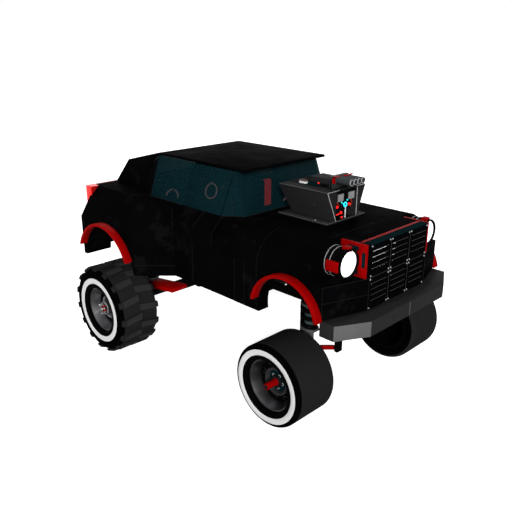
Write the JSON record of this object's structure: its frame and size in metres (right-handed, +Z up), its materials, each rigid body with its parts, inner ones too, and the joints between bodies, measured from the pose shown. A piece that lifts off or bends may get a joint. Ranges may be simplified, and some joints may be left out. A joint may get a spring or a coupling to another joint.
{
  "type": "monster truck",
  "caption": "Lifted two-door monster truck with fastback body, open hood scoop, whitewall tyres, steering, spinning wheels and opening doors.",
  "frame": {"origin": "on the ground under the middle of the vehicle's length and width", "axes": "+X forward, +Y to the vehicle's left, +Z up"},
  "size_m": [5.83, 4.452, 3.265],
  "materials": {
    "body_black": "gloss",
    "frame_black": "satin",
    "trim_red": "satin",
    "scoop_grey": "satin",
    "bumper_grey": "satin",
    "canopy_glass": "gloss",
    "lamp_lens": "gloss",
    "tail_red": "gloss",
    "rim_black": "gloss",
    "tyre_rubber": "matte",
    "spring_black": "gloss",
    "shock_steel": "satin",
    "forged_steel": "matte",
    "engine_iron": "matte",
    "pipe_steel": "satin",
    "seat_cover": "matte",
    "cabin_plastic": "matte"
  },
  "bodies": {
    "vehicle": {"arch_flares": "trim_red", "chassis_frame": "frame_black", "dashboard": "cabin_plastic", "engine": "engine_iron", "fastback": "body_black", "floor_pan": "frame_black", "front_arms": "trim_red", "front_bumper": "bumper_grey", "front_fenders": "body_black", "grille": "body_black", "grille_surround": "trim_red", "headlamp_lenses": "lamp_lens", "headlamps": "body_black", "hood": "body_black", "hood_scoop": "scoop_grey", "intake_pipes": "pipe_steel", "nose_panel": "body_black", "rear_arms": "trim_red", "rear_axle": "forged_steel", "rear_glass": "canopy_glass", "rear_quarters": "body_black", "rockers": "body_black", "roof": "body_black", "seats": "seat_cover", "shocks": "shock_steel", "springs": "spring_black", "steering_wheel": "cabin_plastic", "tail_lamps": "tail_red", "tail_panel": "body_black", "windshield": "canopy_glass"},
    "wheel_front_left": {"rim_front_left": "rim_black", "tyre_front_left": "tyre_rubber"},
    "wheel_front_right": {"rim_front_right": "rim_black", "tyre_front_right": "tyre_rubber"},
    "wheel_rear_left": {"rim_rear_left": "rim_black", "tyre_rear_left": "tyre_rubber"},
    "wheel_rear_right": {"rim_rear_right": "rim_black", "tyre_rear_right": "tyre_rubber"},
    "knuckle_left": {"knuckle_left": "forged_steel"},
    "knuckle_right": {"knuckle_right": "forged_steel"},
    "tie_rod": {"tie_rod": "forged_steel"},
    "door_left": {"door_left": "body_black", "door_glass_left": "canopy_glass"},
    "door_right": {"door_right": "body_black", "door_glass_right": "canopy_glass"}
  },
  "joints": [
    {"name": "steer_left", "type": "hinge", "parent": "vehicle", "child": "knuckle_left", "pos_m": [1.865, 0.87, 0.902], "axis": [0, 0, 1], "range_deg": [-28, 28]},
    {"name": "steer_right", "type": "hinge", "parent": "vehicle", "child": "knuckle_right", "pos_m": [1.865, -0.87, 0.902], "axis": [0, 0, 1], "range_deg": [-28, 28]},
    {"name": "tie_rod_pivot", "type": "hinge", "parent": "knuckle_left", "child": "tie_rod", "pos_m": [1.695, 0.87, 0.932], "axis": [0, 0, 1], "range_deg": [-28, 28]},
    {"name": "spin_front_left", "type": "hinge", "parent": "knuckle_left", "child": "wheel_front_left", "pos_m": [1.865, 1.384, 0.6], "axis": [0, 1, 0], "continuous": true},
    {"name": "spin_front_right", "type": "hinge", "parent": "knuckle_right", "child": "wheel_front_right", "pos_m": [1.865, -1.384, 0.6], "axis": [0, 1, 0], "continuous": true},
    {"name": "spin_rear_left", "type": "hinge", "parent": "vehicle", "child": "wheel_rear_left", "pos_m": [-1.615, 1.862, 0.752], "axis": [0, 1, 0], "continuous": true},
    {"name": "spin_rear_right", "type": "hinge", "parent": "vehicle", "child": "wheel_rear_right", "pos_m": [-1.615, -1.862, 0.752], "axis": [0, 1, 0], "continuous": true},
    {"name": "door_hinge_left", "type": "hinge", "parent": "vehicle", "child": "door_left", "pos_m": [0.83, 1.372, 1.866], "axis": [0, 0, -1], "range_deg": [0, 65]},
    {"name": "door_hinge_right", "type": "hinge", "parent": "vehicle", "child": "door_right", "pos_m": [0.83, -1.372, 1.866], "axis": [0, 0, 1], "range_deg": [0, 65]}
  ],
  "couplings": [
    {"joint": "steer_right", "follows": "steer_left", "ratio": 1},
    {"joint": "tie_rod_pivot", "follows": "steer_left", "ratio": -1}
  ]
}
